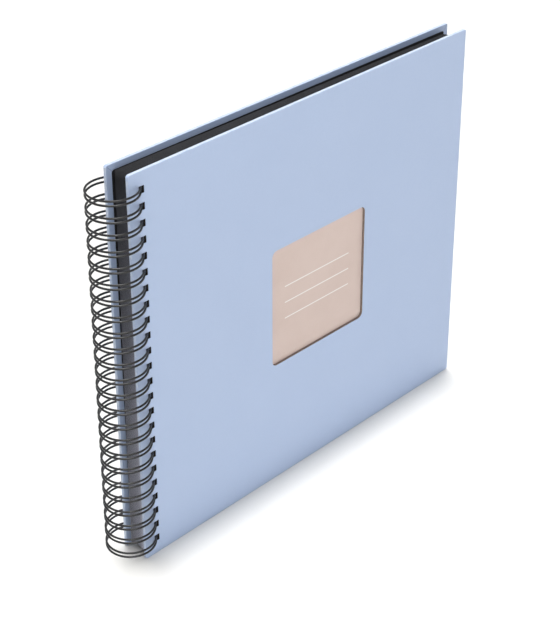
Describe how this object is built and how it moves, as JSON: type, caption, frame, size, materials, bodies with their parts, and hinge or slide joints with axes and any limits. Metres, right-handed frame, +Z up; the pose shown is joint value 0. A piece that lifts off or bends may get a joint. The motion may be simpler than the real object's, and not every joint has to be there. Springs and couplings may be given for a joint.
{
  "type": "scrapbook album",
  "caption": "Wire-bound scrapbook album standing upright: wrapped board covers, the front one with a framed window and card, and black sheets that fan open on a twin-loop wire.",
  "frame": {"origin": "middle of the footprint, on the surface that the album stands on", "axes": "+X from the wire towards the fore edge, +Y from the front cover towards the back cover, +Z up"},
  "size_m": [0.3827, 0.0386, 0.32],
  "materials": {
    "greyboard": "raw, die-cut",
    "cover_paper": "light blue, matt laminated",
    "lining_paper": "black, uncoated",
    "title_card": "beige pink, matt",
    "page_card": "black, uncoated",
    "coated_wire": "black nylon-coated steel, satin"
  },
  "bodies": {
    "back_cover": {"back_cover_board": "greyboard", "back_cover_wrap": "cover_paper", "back_cover_lining": "lining_paper", "binding_wire": "coated_wire"},
    "front_cover": {"front_cover_board": "greyboard", "front_cover_wrap": "cover_paper", "front_cover_lining": "lining_paper", "window_card": "title_card"},
    "sheet_01": {"sheet_01": "page_card"},
    "sheet_02": {"sheet_02": "page_card"},
    "sheet_03": {"sheet_03": "page_card"},
    "sheet_04": {"sheet_04": "page_card"},
    "sheet_05": {"sheet_05": "page_card"},
    "sheet_06": {"sheet_06": "page_card"},
    "sheet_07": {"sheet_07": "page_card"},
    "sheet_08": {"sheet_08": "page_card"},
    "sheet_09": {"sheet_09": "page_card"},
    "sheet_10": {"sheet_10": "page_card"},
    "sheet_11": {"sheet_11": "page_card"},
    "sheet_12": {"sheet_12": "page_card"},
    "sheet_13": {"sheet_13": "page_card"},
    "sheet_14": {"sheet_14": "page_card"},
    "sheet_15": {"sheet_15": "page_card"},
    "sheet_16": {"sheet_16": "page_card"},
    "sheet_17": {"sheet_17": "page_card"},
    "sheet_18": {"sheet_18": "page_card"},
    "sheet_19": {"sheet_19": "page_card"},
    "sheet_20": {"sheet_20": "page_card"},
    "sheet_21": {"sheet_21": "page_card"},
    "sheet_22": {"sheet_22": "page_card"},
    "sheet_23": {"sheet_23": "page_card"},
    "sheet_24": {"sheet_24": "page_card"},
    "sheet_25": {"sheet_25": "page_card"}
  },
  "joints": [
    {"name": "front_cover_turn", "type": "hinge", "parent": "back_cover", "child": "front_cover", "pos_m": [-0.17197, 0, 0.16], "axis": [0, 0, -1], "range_deg": [0, 180]},
    {"name": "sheet_01_turn", "type": "hinge", "parent": "back_cover", "child": "sheet_01", "pos_m": [-0.17197, 0, 0.16], "axis": [0, 0, -1], "range_deg": [0, 173.08]},
    {"name": "sheet_02_turn", "type": "hinge", "parent": "back_cover", "child": "sheet_02", "pos_m": [-0.17197, 0, 0.16], "axis": [0, 0, -1], "range_deg": [0, 166.17]},
    {"name": "sheet_03_turn", "type": "hinge", "parent": "back_cover", "child": "sheet_03", "pos_m": [-0.17197, 0, 0.16], "axis": [0, 0, -1], "range_deg": [0, 159.24]},
    {"name": "sheet_04_turn", "type": "hinge", "parent": "back_cover", "child": "sheet_04", "pos_m": [-0.17197, 0, 0.16], "axis": [0, 0, -1], "range_deg": [0, 152.33]},
    {"name": "sheet_05_turn", "type": "hinge", "parent": "back_cover", "child": "sheet_05", "pos_m": [-0.17197, 0, 0.16], "axis": [0, 0, -1], "range_deg": [0, 145.4]},
    {"name": "sheet_06_turn", "type": "hinge", "parent": "back_cover", "child": "sheet_06", "pos_m": [-0.17197, 0, 0.16], "axis": [0, 0, -1], "range_deg": [0, 138.47]},
    {"name": "sheet_07_turn", "type": "hinge", "parent": "back_cover", "child": "sheet_07", "pos_m": [-0.17197, 0, 0.16], "axis": [0, 0, -1], "range_deg": [0, 131.55]},
    {"name": "sheet_08_turn", "type": "hinge", "parent": "back_cover", "child": "sheet_08", "pos_m": [-0.17197, 0, 0.16], "axis": [0, 0, -1], "range_deg": [0, 124.62]},
    {"name": "sheet_09_turn", "type": "hinge", "parent": "back_cover", "child": "sheet_09", "pos_m": [-0.17197, 0, 0.16], "axis": [0, 0, -1], "range_deg": [0, 117.69]},
    {"name": "sheet_10_turn", "type": "hinge", "parent": "back_cover", "child": "sheet_10", "pos_m": [-0.17197, 0, 0.16], "axis": [0, 0, -1], "range_deg": [0, 110.78]},
    {"name": "sheet_11_turn", "type": "hinge", "parent": "back_cover", "child": "sheet_11", "pos_m": [-0.17197, 0, 0.16], "axis": [0, 0, -1], "range_deg": [0, 103.85]},
    {"name": "sheet_12_turn", "type": "hinge", "parent": "back_cover", "child": "sheet_12", "pos_m": [-0.17197, 0, 0.16], "axis": [0, 0, -1], "range_deg": [0, 96.94]},
    {"name": "sheet_13_turn", "type": "hinge", "parent": "back_cover", "child": "sheet_13", "pos_m": [-0.17197, 0, 0.16], "axis": [0, 0, -1], "range_deg": [0, 90.01]},
    {"name": "sheet_14_turn", "type": "hinge", "parent": "back_cover", "child": "sheet_14", "pos_m": [-0.17197, 0, 0.16], "axis": [0, 0, -1], "range_deg": [0, 83.08]},
    {"name": "sheet_15_turn", "type": "hinge", "parent": "back_cover", "child": "sheet_15", "pos_m": [-0.17197, 0, 0.16], "axis": [0, 0, -1], "range_deg": [0, 76.17]},
    {"name": "sheet_16_turn", "type": "hinge", "parent": "back_cover", "child": "sheet_16", "pos_m": [-0.17197, 0, 0.16], "axis": [0, 0, -1], "range_deg": [0, 69.24]},
    {"name": "sheet_17_turn", "type": "hinge", "parent": "back_cover", "child": "sheet_17", "pos_m": [-0.17197, 0, 0.16], "axis": [0, 0, -1], "range_deg": [0, 62.33]},
    {"name": "sheet_18_turn", "type": "hinge", "parent": "back_cover", "child": "sheet_18", "pos_m": [-0.17197, 0, 0.16], "axis": [0, 0, -1], "range_deg": [0, 55.4]},
    {"name": "sheet_19_turn", "type": "hinge", "parent": "back_cover", "child": "sheet_19", "pos_m": [-0.17197, 0, 0.16], "axis": [0, 0, -1], "range_deg": [0, 48.47]},
    {"name": "sheet_20_turn", "type": "hinge", "parent": "back_cover", "child": "sheet_20", "pos_m": [-0.17197, 0, 0.16], "axis": [0, 0, -1], "range_deg": [0, 41.55]},
    {"name": "sheet_21_turn", "type": "hinge", "parent": "back_cover", "child": "sheet_21", "pos_m": [-0.17197, 0, 0.16], "axis": [0, 0, -1], "range_deg": [0, 34.62]},
    {"name": "sheet_22_turn", "type": "hinge", "parent": "back_cover", "child": "sheet_22", "pos_m": [-0.17197, 0, 0.16], "axis": [0, 0, -1], "range_deg": [0, 27.69]},
    {"name": "sheet_23_turn", "type": "hinge", "parent": "back_cover", "child": "sheet_23", "pos_m": [-0.17197, 0, 0.16], "axis": [0, 0, -1], "range_deg": [0, 20.78]},
    {"name": "sheet_24_turn", "type": "hinge", "parent": "back_cover", "child": "sheet_24", "pos_m": [-0.17197, 0, 0.16], "axis": [0, 0, -1], "range_deg": [0, 13.85]},
    {"name": "sheet_25_turn", "type": "hinge", "parent": "back_cover", "child": "sheet_25", "pos_m": [-0.17197, 0, 0.16], "axis": [0, 0, -1], "range_deg": [0, 6.94]}
  ],
  "couplings": [
    {"joint": "sheet_01_turn", "follows": "front_cover_turn", "ratio": 0.9615},
    {"joint": "sheet_02_turn", "follows": "front_cover_turn", "ratio": 0.9231},
    {"joint": "sheet_03_turn", "follows": "front_cover_turn", "ratio": 0.8846},
    {"joint": "sheet_04_turn", "follows": "front_cover_turn", "ratio": 0.8462},
    {"joint": "sheet_05_turn", "follows": "front_cover_turn", "ratio": 0.8077},
    {"joint": "sheet_06_turn", "follows": "front_cover_turn", "ratio": 0.7692},
    {"joint": "sheet_07_turn", "follows": "front_cover_turn", "ratio": 0.7308},
    {"joint": "sheet_08_turn", "follows": "front_cover_turn", "ratio": 0.6923},
    {"joint": "sheet_09_turn", "follows": "front_cover_turn", "ratio": 0.6538},
    {"joint": "sheet_10_turn", "follows": "front_cover_turn", "ratio": 0.6154},
    {"joint": "sheet_11_turn", "follows": "front_cover_turn", "ratio": 0.5769},
    {"joint": "sheet_12_turn", "follows": "front_cover_turn", "ratio": 0.5385},
    {"joint": "sheet_13_turn", "follows": "front_cover_turn", "ratio": 0.5},
    {"joint": "sheet_14_turn", "follows": "front_cover_turn", "ratio": 0.4615},
    {"joint": "sheet_15_turn", "follows": "front_cover_turn", "ratio": 0.4231},
    {"joint": "sheet_16_turn", "follows": "front_cover_turn", "ratio": 0.3846},
    {"joint": "sheet_17_turn", "follows": "front_cover_turn", "ratio": 0.3462},
    {"joint": "sheet_18_turn", "follows": "front_cover_turn", "ratio": 0.3077},
    {"joint": "sheet_19_turn", "follows": "front_cover_turn", "ratio": 0.2692},
    {"joint": "sheet_20_turn", "follows": "front_cover_turn", "ratio": 0.2308},
    {"joint": "sheet_21_turn", "follows": "front_cover_turn", "ratio": 0.1923},
    {"joint": "sheet_22_turn", "follows": "front_cover_turn", "ratio": 0.1538},
    {"joint": "sheet_23_turn", "follows": "front_cover_turn", "ratio": 0.1154},
    {"joint": "sheet_24_turn", "follows": "front_cover_turn", "ratio": 0.0769},
    {"joint": "sheet_25_turn", "follows": "front_cover_turn", "ratio": 0.0385}
  ]
}
